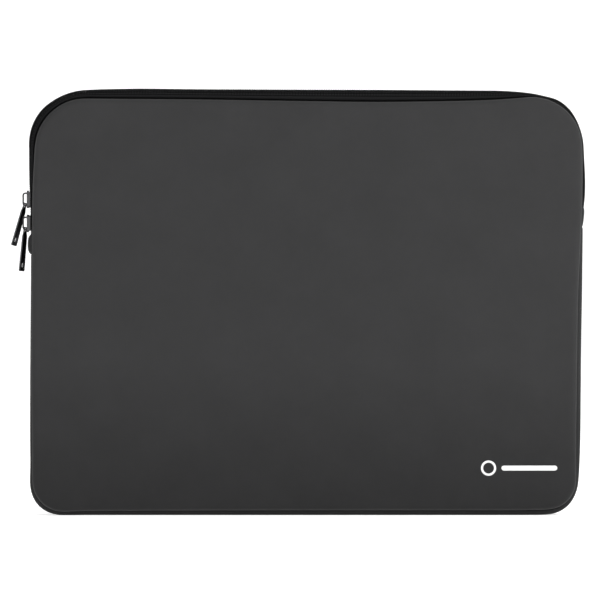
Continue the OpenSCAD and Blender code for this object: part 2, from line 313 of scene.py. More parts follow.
def apply_modifiers(obj):
    """Puts the mesh that a piece's modifiers make in place of its own."""
    bpy.context.view_layer.update()
    evaluated = obj.evaluated_get(bpy.context.evaluated_depsgraph_get())
    mesh = bpy.data.meshes.new_from_object(evaluated)
    obj.modifiers.clear()
    obj.data = mesh
    mesh.shade_smooth()


def face_outwards(faces, points):
    """The faces, turned over if they enclose a negative volume."""
    points = np.asarray(points)
    volume = 0.0
    for f in faces:
        a = points[f[0]]
        for k in range(1, len(f) - 1):
            volume += np.dot(a, np.cross(points[f[k]], points[f[k + 1]]))
    return faces if volume > 0 else [tuple(reversed(f)) for f in faces]


# The columns round a panel. The core of each face is a grid, whose corners lie at the middles of
# the round corners
MID = [
    OUTLINE.starts[1] + BOTTOM_R * math.pi / 4,
    OUTLINE.starts[3] + TOP_R * math.pi / 4,
    OUTLINE.starts[5] + TOP_R * math.pi / 4,
    OUTLINE.starts[7] + BOTTOM_R * math.pi / 4,
]
ACROSS = 60
UP_TO_ZIP, ZIP_TO_CORNER = (27, 31), (18, 14)
ZIP_STEP = 1.6


def spaced(knots, counts):
    """Runs from knot to knot, each stretch in its count of equal steps, without the last knot."""
    runs = [
        np.linspace(a, b, n, endpoint=False)
        for a, b, n in zip(knots, knots[1:], counts)
    ]
    return np.concatenate(runs)


LEFT_COLUMNS = spaced(
    [MID[0], ZIP_START - ZIP_STEP, ZIP_START, ZIP_START + ZIP_STEP, MID[1]],
    [UP_TO_ZIP[0], 1, 1, ZIP_TO_CORNER[0]],
)
RIGHT_COLUMNS = spaced(
    [MID[2], ZIP_END - ZIP_STEP, ZIP_END, ZIP_END + ZIP_STEP, MID[3]],
    [ZIP_TO_CORNER[1], 1, 1, UP_TO_ZIP[1]],
)
UP = len(LEFT_COLUMNS)
COLUMNS = np.concatenate(
    [
        LEFT_COLUMNS,
        spaced([MID[1], MID[2]], [ACROSS]),
        RIGHT_COLUMNS,
        spaced([MID[3], MID[0] + OUTLINE.length], [ACROSS]),
    ]
)
COUNT = len(COLUMNS)
COLUMN_PLACE, COLUMN_OUT = OUTLINE.at(COLUMNS)
LEFT_END = UP_TO_ZIP[0] + 1
RIGHT_END = UP + ACROSS + ZIP_TO_CORNER[1] + 1

# A panel's section: the flat rows inside its edge, the roll of the edge, the rim tucked in at the
# seam, and the back panel's turned allowance behind the closed seam
CORE_INSET = 18.0
FACE_INSETS = (CORE_INSET, 13.5, 9.5, 6.8)
CORE_BLEND = 14
ROLL_W = 5.2
ROLL_H = HALF_T - 8.0
ROLL_STEPS = (0, 12, 26, 45, 64, 78, 90)
ROLL_POWER = 0.74
RIM_TUCK = 0.55
SEAM_RIM = SEAM_H + 0.25
SEAM_HEIGHTS = (5.0, 2.0, -1.0, -3.2)
TURN_STEPS = (30, 60, 90)
TURN_OUT, TURN_IN = 2.7, 2.0
TURN_WIDTH = 2.6
CROWN = 1.1
CROWN_REACH = 60.0


def crown(inside, x, z):
    """How far a face stands out: a slight crown with faint unevenness, at a distance inside its edge."""
    gentle = smoothstep(inside / CROWN_REACH)
    uneven = (
        0.10 * np.sin(x / 31 + 1.3) * np.sin(z / 27 + 0.4)
        + 0.07 * np.sin(x / 17 - z / 23 + 2.1)
        + 0.05 * np.sin(z / 11 + x / 43)
    )
    return gentle * (CROWN + uneven)


def profile_rows(side, depth):
    """Rows of (u, h) for each column, from the face's core to the rim, for a surface at a depth below
    the outer one, with the further rows that only the back panel's closed seam has."""
    edge = edge_u(side, COLUMNS)
    zipped = in_zip(COLUMNS)
    rows = []
    for inside in FACE_INSETS:
        lift = crown(np.full(COUNT, inside), *COLUMN_PLACE.T)
        rows.append((edge - inside, np.full(COUNT, HALF_T - depth) + lift))
    for step in ROLL_STEPS:
        a = math.radians(step)
        lift = crown(np.full(COUNT, ROLL_W), *COLUMN_PLACE.T) * math.cos(a)
        power = 1.0 - (1.0 - ROLL_POWER) * (1 - depth / ROLL_H)
        u = -ROLL_W + (ROLL_W - depth) * math.sin(a) ** power
        h = HALF_T - ROLL_H + (ROLL_H - depth) * max(math.cos(a), 0.0) ** power
        rows.append((edge + u, h + lift))
    if side == FRONT:
        rim = SEAM_RIM + (ZIP_RIM - SEAM_RIM) * zipped
        tuck = RIM_TUCK
    else:
        rim = np.full(COUNT, ZIP_RIM)
        tuck = RIM_TUCK * zipped
    skin = depth < 0.1
    rows.append((edge - depth - skin * 0.3 * tuck, rim * 0.6 + (HALF_T - ROLL_H) * 0.4))
    rows.append((edge - depth - skin * tuck, rim + (0 if skin else 0.15)))
    further = []
    if side == BACK:
        for h in SEAM_HEIGHTS:
            further.append((edge - depth, np.full(COUNT, h)))
        for a in TURN_STEPS:
            t, d = math.radians(a), TURN_OUT if skin else TURN_IN
            u = -depth - (TURN_WIDTH * (1 - math.cos(t)) if skin else 0)
            further.append((edge + u, np.full(COUNT, SEAM_HEIGHTS[-1] - d * math.sin(t))))
        further.append((edge - (3.4 if skin else depth), np.full(COUNT, -6.0 if skin else -5.6)))
    return rows, further


def grid_core(boundary):
    """A Coons patch over the core's boundary, which runs up the left, over the top, down the right
    and back."""
    loop = np.concatenate([boundary, boundary[:1]])
    left = loop[: UP + 1]
    top = loop[UP : UP + ACROSS + 1]
    right = loop[UP + ACROSS : 2 * UP + ACROSS + 1][::-1]
    bottom = loop[2 * UP + ACROSS :][::-1]
    i = np.linspace(0, 1, ACROSS + 1)[:, None, None]
    j = np.linspace(0, 1, UP + 1)[None, :, None]
    patch = (1 - j) * bottom[:, None] + j * top[:, None]
    patch = patch + (1 - i) * left[None] + i * right[None]
    corners = (1 - i) * (1 - j) * bottom[0] + i * (1 - j) * bottom[-1]
    return patch - corners - (1 - i) * j * top[0] - i * j * top[-1]


def distance_inside(x, z):
    """How far a point lies inside the front panel's outline, near enough."""
    return np.minimum.reduce([HALF_W - np.abs(x), PANEL_TOP - z, z - PANEL_BOTTOM])


def surface(side, depth, base):
    """One surface of a panel: its points, faces and UVs, its columns' indices row by row, and the
    number of rows up to the rim."""
    rows, further = profile_rows(side, depth)
    points, uvs, rings = [], [], []
    run_out = np.zeros(COUNT)
    start_u, before = rows[0][0], rows[0]
    for k, (u, h) in enumerate(rows + further):
        run_out = run_out + np.hypot(u - before[0], h - before[1])
        before = (u, h)
        place = COLUMN_PLACE + COLUMN_OUT * u[:, None]
        flat = COLUMN_PLACE + COLUMN_OUT * (start_u + run_out)[:, None]
        points.append(np.stack([place[:, 0], side * h, place[:, 1]], 1))
        uvs.append(flat)
        rings.append(base + k * COUNT + np.arange(COUNT))
    core = grid_core(points[0][:, [0, 2]])
    x, z = core[..., 0], core[..., 1]
    height = HALF_T - depth + crown(distance_inside(x, z), x, z)
    edge_height = grid_core(np.repeat(points[0][:, 1:2] * side, 2, 1))[..., 0]
    near = smoothstep((distance_inside(x, z) - CORE_INSET) / CORE_BLEND)
    height = height * near + edge_height * (1 - near)
    index = np.full((ACROSS + 1, UP + 1), -1)
    index[0, :] = rings[0][: UP + 1]
    index[:, UP] = rings[0][UP : UP + ACROSS + 1]
    index[ACROSS, ::-1] = rings[0][UP + ACROSS : 2 * UP + ACROSS + 1]
    index[::-1, 0] = np.append(rings[0], rings[0][0])[2 * UP + ACROSS :]
    start = base + len(points) * COUNT
    inner = np.argwhere(index < 0)
    index[index < 0] = start + np.arange(len(inner))
    at = (inner[:, 0], inner[:, 1])
    points.append(np.stack([x[at], side * height[at], z[at]], 1))
    uvs.append(np.stack([x[at], z[at]], 1))
    faces = [
        (index[i, j], index[i + 1, j], index[i + 1, j + 1], index[i, j + 1])
        for i in range(ACROSS)
        for j in range(UP)
    ]
    for k in range(len(rows) - 1):
        a, b = rings[k], rings[k + 1]
        for c in range(COUNT):
            d = (c + 1) % COUNT
            faces.append((a[c], a[d], b[d], b[c]))
    for k in range(len(rows) - 1, len(rows) + len(further) - 1):
        a, b = rings[k], rings[k + 1]
        for c in seam_columns():
            d = (c + 1) % COUNT
            faces.append((a[c], a[d], b[d], b[c]))
    return np.concatenate(points), faces, np.concatenate(uvs), rings, len(rows)


def seam_columns():
    """The columns that start a stretch of the closed seam."""
    return [c % COUNT for c in range(RIGHT_END, COUNT + LEFT_END)]


def panel(name, side, depth, inner_depth):
    """A closed shell between two depths below a panel's outer face."""
    outer, outer_faces, outer_uv, rings, rim = surface(side, depth, 0)
    inner, inner_faces, inner_uv, inner_rings, _ = surface(side, inner_depth, len(outer))
    faces = outer_faces + [tuple(reversed(f)) for f in inner_faces]
    seam = set(seam_columns()) if side == BACK else set()
    for c in range(COUNT):
        d = (c + 1) % COUNT
        k = len(rings) - 1 if c in seam else rim - 1
        faces.append((rings[k][c], rings[k][d], inner_rings[k][d], inner_rings[k][c]))
    if side == BACK:
        for c, flip in ((RIGHT_END, False), (LEFT_END, True)):
            for k in range(rim - 1, len(rings) - 1):
                cap = (rings[k][c], rings[k + 1][c], inner_rings[k + 1][c], inner_rings[k][c])
                faces.append(cap if not flip else tuple(reversed(cap)))
    points = np.concatenate([outer, inner])
    used = np.unique(np.concatenate([np.array(f) for f in faces]))
    renumber = np.full(len(points), -1)
    renumber[used] = np.arange(len(used))
    faces = [tuple(int(renumber[i]) for i in f) for f in faces]
    uv = np.concatenate([outer_uv, inner_uv])[used]
    points = points[used]
    return make_mesh(name, points, face_outwards(faces, points), uv, levels=1)


def path_runs(start, end, straight=6.0, round_step=3.0):
    """Runs along the outline, closer together round its corners."""
    edges = [start]
    for a, b in zip(OUTLINE.starts, OUTLINE.starts[1:]):
        if start < b and a < end:
            arc = min(abs(a - OUTLINE.starts[k]) for k in (1, 3, 5, 7)) < 1e-6
            stop = min(b, end)
            count = max(1, round((stop - edges[-1]) / (round_step if arc else straight)))
            edges.extend(np.linspace(edges[-1], stop, count + 1)[1:])
    return np.array(edges)


def thickened(rows, thickness):
    """Closes open rows of (u, h) into a loop of rows, with a second side at a thickness to their left."""
    line = np.array([np.stack(np.broadcast_arrays(*r), 1) for r in rows], float)
    way = np.gradient(line, axis=0)
    way /= np.linalg.norm(way, axis=2, keepdims=True)
    normal = np.stack([-way[..., 1], way[..., 0]], 2)
    second = line + normal * thickness
    return [tuple(r.T) for r in np.concatenate([line, second[::-1]])]


def sweep(name, side, run, rows, levels=1):
    """A closed tube along the outline. Each row is (u, h) at every run, and the rows go round its
    section."""
    place, out = OUTLINE.at(run)
    count, sides = len(run), len(rows)
    points, uvs, around = [], [], 0.0
    for k, (u, h) in enumerate(rows):
        u, h = np.broadcast_to(u, count), np.broadcast_to(h, count)
        if k:
            around += float(np.mean(np.hypot(u - last[0], h - last[1])))
        last = (u, h)
        at = place + out * u[:, None]
        points.append(np.stack([at[:, 0], side * h, at[:, 1]], 1))
        uvs.append(np.stack([run, np.full(count, around)], 1))
    faces = []
    for k in range(sides):
        m = (k + 1) % sides
        for c in range(count - 1):
            faces.append((k * count + c, k * count + c + 1, m * count + c + 1, m * count + c))
    half = sides // 2
    for c, flip in ((0, False), (count - 1, True)):
        for k in range(half - (0 if sides % 2 else 1)):
            cap = [k, k + 1, sides - 2 - k, sides - 1 - k]
            cap = [q * count + c for q in dict.fromkeys(cap)]
            faces.append(tuple(reversed(cap)) if flip else tuple(cap))
    points = np.concatenate(points)
    return make_mesh(name, points, face_outwards(faces, points), np.concatenate(uvs), levels)


# ---------------------------------------------------------------- the zip

COIL_PITCH = 1.2
WIRE_R = 0.38
COIL_RISE = 0.95
COIL_U = COIL_OUT + 0.15 - COIL_RISE - WIRE_R
COIL_H = 1.02
COIL_REACH = 1.42
COIL_PARTING = 0.62
COIL_MARGIN = 1.0
TURN_POINTS = 14
WIRE_SIDES = 6
SEWING_PITCH = 1.9
SEWING_ROW = 1.6
SEWING_WIDTH = 4.9
TAPE_THICK = 0.42
CREASE = 1.1
TAB_LENGTH = 13.8
TAB_THICK = 0.7
PARTING_RUN = 3
SLIDER_LOW = OUTLINE.left(box_mm("slider_lower_body")[0][2])
SLIDER_HIGH = OUTLINE.left(box_mm("slider_upper_body")[1][2])
TAPE_U = COIL_OUT - 1.85


def parted(run):
    """1 between the sliders' ends, where the two coils stand apart, and 0 elsewhere."""
    above_low = smoothstep((run - SLIDER_LOW + PARTING_RUN) / PARTING_RUN)
    below_high = smoothstep((SLIDER_HIGH + PARTING_RUN - run) / PARTING_RUN)
    return above_low * below_high


def coil(name, side, phase):
    """A flattened helix of wire along the zip. Its turns reach past the middle, between the other
    coil's, except where the sliders part them."""
    start, end = ZIP_START + COIL_MARGIN, ZIP_END - COIL_MARGIN
    turns = int((end - start) / COIL_PITCH) - 1
    angle = np.linspace(0, 2 * math.pi * turns, turns * TURN_POINTS, endpoint=False)
    run = start + COIL_PITCH * (angle / (2 * math.pi) + phase)
    place, out = OUTLINE.at(run)
    c, s = np.cos(angle), np.sin(angle)
    across = np.sign(c) * np.abs(c) ** 0.85
    rise = np.sign(s) * np.abs(s) ** 0.7
    h = COIL_H + COIL_PARTING * parted(run) - COIL_REACH * across
    u = COIL_U + chain_ease(run) + COIL_RISE * rise
    radial = np.stack([rise, -across], 1)
    radial /= np.linalg.norm(radial, axis=1, keepdims=True)
    middle = place + out * u[:, None]
    centre = np.stack([middle[:, 0], side * h, middle[:, 1]], 1)
    outward = np.stack(
        [out[:, 0] * radial[:, 0], side * radial[:, 1], out[:, 1] * radial[:, 0]], 1
    )
    tangent = np.gradient(centre, axis=0)
    tangent /= np.linalg.norm(tangent, axis=1, keepdims=True)
    outward -= tangent * np.sum(outward * tangent, 1, keepdims=True)
    outward /= np.linalg.norm(outward, axis=1, keepdims=True)
    third = np.cross(tangent, outward)
    points, uvs = [], []
    for k in range(WIRE_SIDES):
        a = 2 * math.pi * k / WIRE_SIDES
        points.append(centre + WIRE_R * (math.cos(a) * outward + math.sin(a) * third))
        uvs.append(np.stack([run * 6, np.full(len(run), k * 0.3)], 1))
    count = len(run)
    faces = [
        (k * count + c, k * count + c + 1, m * count + c + 1, m * count + c)
        for k in range(WIRE_SIDES)
        for m in [(k + 1) % WIRE_SIDES]
        for c in range(count - 1)
    ]
    faces.append(tuple(k * count for k in range(WIRE_SIDES)))
    faces.append(tuple(k * count + count - 1 for k in reversed(range(WIRE_SIDES))))
    points = np.concatenate(points)
    return make_mesh(name, points, face_outwards(faces, points), np.concatenate(uvs))


def tape_edge(name, side):
    """The tape's edge under the coil. The two edges meet in the middle, except where the sliders
    part them."""
    run = path_runs(ZIP_START, ZIP_END, straight=3.0)
    bottom = COIL_U - COIL_RISE - WIRE_R + chain_ease(run)
    near = 0.04 + COIL_PARTING * parted(run)
    upper, lower, far = bottom + 0.22, bottom - 0.06, 2.6
    rows = [(upper, near), (upper, far), (lower, far), (lower, near)]
    rows = [(r[0], np.broadcast_to(r[1], len(run))) for r in rows]
    return sweep(name, side, run, rows, levels=0)


def tape(name, side):
    """Woven tape from the coil to the panel's rim, and on under the rim."""
    run = path_runs(ZIP_START, ZIP_END, straight=4.0)
    foot = edge_u(side, run)
    chain = TAPE_U + chain_ease(run)
    gap = foot - chain
    crease = np.clip(-0.35 * gap, -CREASE, CREASE)
    rows = [
        (chain, 2.35),
        (chain, 3.5),
        (chain, 4.8),
        (chain + gap * 0.2, 5.7),
        (chain + gap * 0.5, 6.3),
        (foot + crease * 1.15, 6.5),
        (foot + crease * 0.9, 5.2),
        (foot + crease * 0.3, 4.6),
        (foot - 0.5, 4.8),
        (foot - 1.2, 6.6),
        (foot - 1.9, 7.1),
        (foot - 4.1, 7.1),
    ]
    rows = [(r[0], np.full(len(run), r[1])) for r in rows]
    return sweep(name, side, run, thickened(rows, TAPE_THICK))


def stitches(name, side, run, u, h):
    """A row of short threads, each a little capsule along the outline, sunk at its ends."""
    sides, rings = 6, 6
    points, faces, uvs = [], [], []
    t = np.linspace(-1, 1, rings)
    for n, r in enumerate(run):
        s = r + t * STITCH_LENGTH / 2
        place, out = OUTLINE.at(s)
        bow = THREAD_R * 0.9 * (1 - t * t)
        width = THREAD_R * np.sqrt(np.clip(1.04 - t**4, 0.04, 1))
        base = len(points)
        for j in range(rings):
            for k in range(sides):
                a = 2 * math.pi * k / sides
                du = width[j] * math.cos(a)
                dh = width[j] * math.sin(a)
                q = place[j] + out[j] * (u[n] - bow[j] + du)
                points.append((q[0], side * (h + dh), q[1]))
                uvs.append((s[j], k * 0.2))
        for j in range(rings - 1):
            for k in range(sides):
                m = (k + 1) % sides
                faces.append(
                    (base + j * sides + k, base + j * sides + m,
                     base + (j + 1) * sides + m, base + (j + 1) * sides + k)
                )
        faces.append(tuple(base + k for k in reversed(range(sides))))
        faces.append(tuple(base + (rings - 1) * sides + k for k in range(sides)))
    return make_mesh(name, points, face_outwards(faces, points), uvs)


def end_tab(name, start, crest, lean, fullness):
    """A fabric tab folded over the end of the zip, full in its middle and tucked in at both ends."""
    steps = 13
    run = np.linspace(start, start + TAB_LENGTH, steps)
    t = np.linspace(-1, 1, steps)
    full = (1 - np.abs(t) ** fullness) ** (1.6 / fullness)
    edge, rear = edge_u(FRONT, run), edge_u(BACK, run)
    low = BACK_PROUD + 0.15
    top = low + (crest - low) * full - lean * t
    rows = [
        (edge - 0.5, 8.3),
        (edge + 0.25, 8.1),
        ((edge + top) / 2 + 0.35, 6.6),
        (top - 0.3, 4.4),
        (top, 2.2),
        (top + 0.08, 0.0),
        (top, -2.2),
        (top - 0.3, -4.1),
        (np.maximum(top - 0.8, rear + 0.35), -5.6),
        (rear + 0.4, -6.6),
        (rear + 0.1, -7.3),
        (rear - 0.6, -7.7),
    ]
    rows = [(np.broadcast_to(u, steps), np.full(steps, float(h))) for u, h in rows]
    return sweep(name, FRONT, run, thickened(rows, -TAB_THICK))


def end_stop(name, start, end):
    """The metal bar across both coils, under the end tab."""
    run = np.linspace(start, end, 4)
    crest = COIL_OUT + chain_ease(run)
    rows = [
        (crest + 0.1, -2.5),
        (crest + 0.35, -2.2),
        (crest + 0.35, 2.2),
        (crest + 0.1, 2.5),
        (crest - 0.2, 2.5),
        (crest - 0.4, 0.5),
        (crest - 0.4, -0.5),
        (crest - 0.2, -2.5),
    ]
    rows = [(r[0], np.full(4, r[1])) for r in rows]
    return sweep(name, FRONT, run, rows)


def binding(name, side, run, u_low, u_high, h_low, h_high):
    """A folded tape over raw edges: a soft oblong section."""
    ease = edge_u(side, run) - (BACK_PROUD if side == BACK else 0)
    u0, u1, h0, h1 = u_low, u_high, h_low, h_high
    mu, mh = (u0 + u1) / 2, (h0 + h1) / 2
    corner = 0.45
    rows = [
        (u0 + corner, h0), (mu, h0 - 0.02), (u1 - corner, h0), (u1, h0 + corner),
        (u1, mh), (u1, h1 - corner), (u1 - corner, h1), (mu, h1),
        (u0 + corner, h1), (u0, h1 - corner), (u0 - 0.03, mh), (u0, h0 + corner),
    ]
    rows = [(r[0] + ease, np.full(len(run), float(r[1]))) for r in rows]
    return sweep(name, side, run, rows)


def on_face(x, z):
    """The height of the front face at a point well inside it."""
    return HALF_T + crown(distance_inside(x, z), x, z)


def printed_patch(name, boundary_pairs, closed):
    """Ink on the front face, as a band between two lines of (x, z)."""
    inner, outer = (np.array(b, float) for b in zip(*boundary_pairs))
    count, steps = len(inner), 4
    points, faces = [], []
    for layer in (0.09, -0.2):
        for k in range(steps + 1):
            line = inner + (outer - inner) * k / steps
            h = on_face(line[:, 0], line[:, 1]) + layer
            points.append(np.stack([line[:, 0], -h, line[:, 1]], 1))
    rows, span = len(points), count if closed else count - 1
    loop = list(range(rows // 2)) + list(range(rows - 1, rows // 2 - 1, -1))
    for a, b in zip(loop, loop[1:] + loop[:1]):
        for c in range(span):
            d = (c + 1) % count
            faces.append((a * count + c, a * count + d, b * count + d, b * count + c))
    if not closed:
        for c, flip in ((0, False), (count - 1, True)):
            for k in range(steps):
                m = rows // 2
                cap = [q * count + c for q in (k, k + 1, m + k + 1, m + k)]
                faces.append(tuple(reversed(cap)) if flip else tuple(cap))
    points = np.concatenate(points)
    uv = points[:, [0, 2]]
    return make_mesh(name, points, face_outwards(faces, points), uv)


def mark():
    """A ring and a round-ended bar in the printed node's place."""
    low, high = box_mm("printed_mark")
    middle = (low[2] + high[2]) / 2
    ring_r = (high[2] - low[2]) / 2
    ring_x = low[0] + ring_r
    line, bar_h, gap = 1.5, 3.4, 3.6
    turn = np.linspace(0, 2 * math.pi, 72, endpoint=False)
    way = np.stack([np.cos(turn), np.sin(turn)], 1)
    centre = np.array([ring_x, middle])
    ring = [(centre + (ring_r - line) * w, centre + ring_r * w) for w in way]
    start, end = low[0] + 2 * ring_r + gap, high[0]
    bar = []
    for x in np.concatenate(
        [start + bar_h / 2 * (1 - np.cos(np.linspace(0.15, math.pi / 2, 9))),
         np.linspace(start + bar_h / 2, end - bar_h / 2, 14)[1:-1],
         end - bar_h / 2 * (1 - np.sin(np.linspace(0, math.pi / 2 - 0.15, 9)))]
    ):
        into = min(x - start, end - x, bar_h / 2)
        half = math.sqrt(max(bar_h**2 / 4 - (bar_h / 2 - into) ** 2, 0))
        bar.append(((x, middle - half), (x, middle + half)))
    return [printed_patch("print_ring", ring, True), printed_patch("print_bar", bar, False)]


# ---------------------------------------------------------------- materials


class Look:
    """A procedural material: a Principled shader and the nodes that feed it."""

    def __init__(self, name, **constants):
        self.material = bpy.data.materials.new(name)
        self.material.use_nodes = True
        self.tree = self.material.node_tree
        self.shader = self.tree.nodes["Principled BSDF"]
        for socket, value in constants.items():
            self.shader.inputs[socket.replace("_", " ")].default_value = value

    def node(self, kind, inputs=None, **settings):
        n = self.tree.nodes.new("ShaderNode" + kind)
        for key, value in settings.items():
            setattr(n, key, value)
        for key, value in (inputs or {}).items():
            if isinstance(value, bpy.types.NodeSocket):
                self.tree.links.new(value, n.inputs[key])
            else:
                n.inputs[key].default_value = value
        return n

    def flow(self, x=1.0, y=1.0, turn=0.0):
        """The mesh's own UV map in millimetres, scaled."""
        uv = self.node("UVMap", uv_map="flow").outputs["UV"]
        return self.mapped(uv, (x, y, 1.0), turn)

    def space(self, scale):
        """The piece's own space in millimetres, scaled."""
        coordinates = self.node("TexCoord").outputs["Object"]
        return self.mapped(coordinates, (scale / MM,) * 3, 0.0)

    def mapped(self, vector, scale, turn):
        n = self.node("Mapping", {"Vector": vector})
        n.inputs["Scale"].default_value = scale
        n.inputs["Rotation"].default_value = (0, 0, turn)
        return n.outputs["Vector"]

    def noise(self, vector, scale=1.0, detail=2.0, rough=0.5):
        inputs = {"Vector": vector, "Scale": scale, "Detail": detail, "Roughness": rough}
        return self.node("TexNoise", inputs).outputs["Fac"]

    def math(self, operation, a, b=0.0, clamp=False):
        return self.node("Math", {0: a, 1: b}, operation=operation, use_clamp=clamp).outputs[0]

    def ramp(self, value, low, high, dark, light):
        """A value between low and high, turned into one between dark and light and held there outside."""
        inputs = {"Value": value, "From Min": low, "From Max": high, "To Min": dark, "To Max": light}
        return self.node("MapRange", inputs).outputs["Result"]

    def ribs(self, vector, axis):
        """Rounded ribs of pitch 1 along an axis of a vector."""
        part = self.node("SeparateXYZ", {"Vector": vector}).outputs[axis]
        return self.math("ABSOLUTE", self.math("SINE", self.math("MULTIPLY", part, math.pi)))

    def paint(self, base, amount):
        """The base colour, lightened and darkened by a value round 0."""
        factor = self.math("ADD", amount, 1.0)
        n = self.node("Mix", {"Factor": 1.0, 6: (*base, 1)}, data_type="RGBA", blend_type="MULTIPLY")
        grey = self.node("CombineColor", {0: factor, 1: factor, 2: factor})
        self.tree.links.new(grey.outputs[0], n.inputs[7])
        self.tree.links.new(n.outputs[2], self.shader.inputs["Base Color"])

    def bump(self, height, distance, strength=1.0, normal=None):
        inputs = {"Height": height, "Distance": distance * MM, "Strength": strength}
        if normal is not None:
            inputs["Normal"] = normal
        out = self.node("Bump", inputs).outputs["Normal"]
        self.tree.links.new(out, self.shader.inputs["Normal"])
        return out

    def rough(self, value):
        self.tree.links.new(value, self.shader.inputs["Roughness"])


WALE, COURSE = 0.62, 0.5
# Painted shade on the knit: the height above the foot that it reaches, and how much darker the colour is at
# the foot
PAINTED_SHADE_UP_TO, PAINTED_SHADE_AT_FOOT = 105.0, 0.42


def knit_look():
    """Smooth fine jersey bonded to foam: close wales, a faint heather and softly uneven dye. Its colour is
    also darkened towards the sleeve's foot as painted shade, where less light falls, as in the photograph."""
    look = Look("knit", Specular_IOR_Level=0.15, Sheen_Weight=0.08, Sheen_Roughness=0.4)
    wales = look.ribs(look.flow(1 / WALE, 1 / WALE), 0)
    stitch = look.ribs(look.flow(1 / WALE, 1 / COURSE), 1)
    heather = look.noise(look.flow(), 2.6, 3.0, 0.6)
    pile = look.noise(look.flow(1.0, 0.45), 1.1, 2.0)
    cloud = look.noise(look.flow(), 0.03, 3.0, 0.55)
    patch = look.noise(look.flow(), 0.16, 2.0, 0.5)
    tone = look.ramp(heather, 0.3, 0.7, -0.10, 0.10)
    tone = look.math("ADD", tone, look.ramp(cloud, 0.3, 0.7, -0.05, 0.05))
    tone = look.math("ADD", tone, look.ramp(patch, 0.3, 0.7, -0.02, 0.02))
    tone = look.math("ADD", tone, look.ramp(wales, 0.0, 1.0, -0.05, 0.03))
    # Painted shade: the colour darkens towards the sleeve's foot, standing in for less light falling there
    up = look.node("SeparateXYZ", {"Vector": look.flow()}).outputs[1]
    tone = look.math("ADD", tone, look.ramp(up, 0.0, PAINTED_SHADE_UP_TO, -PAINTED_SHADE_AT_FOOT, 0.0))
    look.paint((0.0275, 0.0275, 0.028), tone)
    weave = look.math("MULTIPLY", wales, look.ramp(stitch, 0.0, 1.0, 0.6, 1.0))
    first = look.bump(weave, 0.05, 0.55)
    second = look.bump(pile, 0.05, 0.5, first)
    look.bump(cloud, 1.6, 0.35, second)
    look.rough(look.ramp(heather, 0.2, 0.8, 0.74, 0.88))
    return look.material


def lining_look():
    """Soft brushed lining with a short pile."""
    look = Look("lining", Specular_IOR_Level=0.2, Sheen_Weight=0.5, Sheen_Roughness=0.5)
    pile = look.noise(look.flow(1.0, 0.6), 3.2, 4.0, 0.65)
    brushed = look.noise(look.flow(), 0.12, 3.0, 0.5)
    tone = look.math("ADD", look.ramp(pile, 0.25, 0.75, -0.22, 0.22), look.ramp(brushed, 0.3, 0.7, -0.1, 0.1))
    look.paint((0.032, 0.032, 0.034), tone)
    first = look.bump(pile, 0.16, 0.6)
    look.bump(brushed, 0.9, 0.3, first)
    look.rough(look.ramp(pile, 0.2, 0.8, 0.82, 0.95))
    return look.material


def woven_look(name, colour, pitch, bump, sewn=0.0):
    """Twill tape: slanting ribs, cross threads and a little fuzz. The first part across it, as wide as
    sewn, is darker and dotted, where the coil's sewing goes through."""
    look = Look(name, Specular_IOR_Level=0.03, Sheen_Weight=0.01, Sheen_Roughness=0.4)
    twill = look.ribs(look.flow(1 / pitch, 1 / pitch, math.radians(35)), 0)
    cross = look.ribs(look.flow(1 / (0.7 * pitch), 1 / (0.7 * pitch)), 0)
    fuzz = look.noise(look.flow(), 2.0, 3.0, 0.6)
    tone = look.math("ADD", look.ramp(twill, 0.0, 1.0, -0.25, 0.15), look.ramp(fuzz, 0.3, 0.7, -0.15, 0.15))
    if sewn:
        across = look.node("SeparateXYZ", {"Vector": look.flow()}).outputs[1]
        zone = look.ramp(across, sewn - 0.2, sewn + 0.2, 1.0, 0.0)
        rows = look.flow(1 / SEWING_PITCH, 1 / SEWING_ROW)
        dots = look.math("MULTIPLY", look.ribs(rows, 0), look.ribs(rows, 1))
        spots = look.math("MULTIPLY", zone, look.ramp(dots, 0.15, 0.8, -0.95, 0.3))
        tone = look.math("ADD", tone, spots)
    look.paint(colour, tone)
    weave = look.math("ADD", look.math("MULTIPLY", twill, 0.7), look.math("MULTIPLY", cross, 0.3))
    first = look.bump(weave, bump, 0.8)
    look.bump(fuzz, bump * 0.7, 0.4, first)
    look.rough(look.ramp(fuzz, 0.2, 0.8, 0.6, 0.8))
    return look.material


def coil_look():
    """Nylon wire, a little glossy, scuffed dull in places."""
    look = Look("coil", Specular_IOR_Level=0.22)
    scuff = look.noise(look.space(1.0), 0.9, 3.0, 0.6)
    look.paint((0.004, 0.004, 0.0043), look.ramp(scuff, 0.3, 0.7, -0.25, 0.35))
    look.bump(scuff, 0.03, 0.5)
    look.rough(look.ramp(scuff, 0.3, 0.7, 0.3, 0.48))
    return look.material


def thread_look():
    """Twisted sewing thread."""
    look = Look("thread", Specular_IOR_Level=0.4, Sheen_Weight=0.3, Sheen_Roughness=0.35)
    ply = look.ribs(look.flow(1 / 0.5, 1 / 0.5, math.radians(40)), 0)
    fibre = look.noise(look.flow(), 5.0, 2.0)
    tone = look.math("ADD", look.ramp(ply, 0.0, 1.0, -0.3, 0.15), look.ramp(fibre, 0.3, 0.7, -0.1, 0.1))
    look.paint((0.05, 0.05, 0.052), tone)
    look.bump(ply, 0.06, 0.8)
    look.rough(look.ramp(fibre, 0.2, 0.8, 0.5, 0.7))
    return look.material


def print_look():
    """Flat white ink, thin over the knit, so that its wales show through."""
    look = Look("print", Specular_IOR_Level=0.4)
    wales = look.ribs(look.flow(1 / WALE, 1 / WALE), 0)
    wear = look.noise(look.flow(), 0.9, 4.0, 0.6)
    tone = look.math("ADD", look.ramp(wales, 0.0, 1.0, -0.05, 0.0), look.ramp(wear, 0.3, 0.7, -0.05, 0.02))
    look.paint((0.8, 0.8, 0.8), tone)
    look.bump(look.math("ADD", wales, wear), 0.03, 0.5)
    look.rough(look.ramp(wear, 0.2, 0.8, 0.45, 0.6))
    return look.material


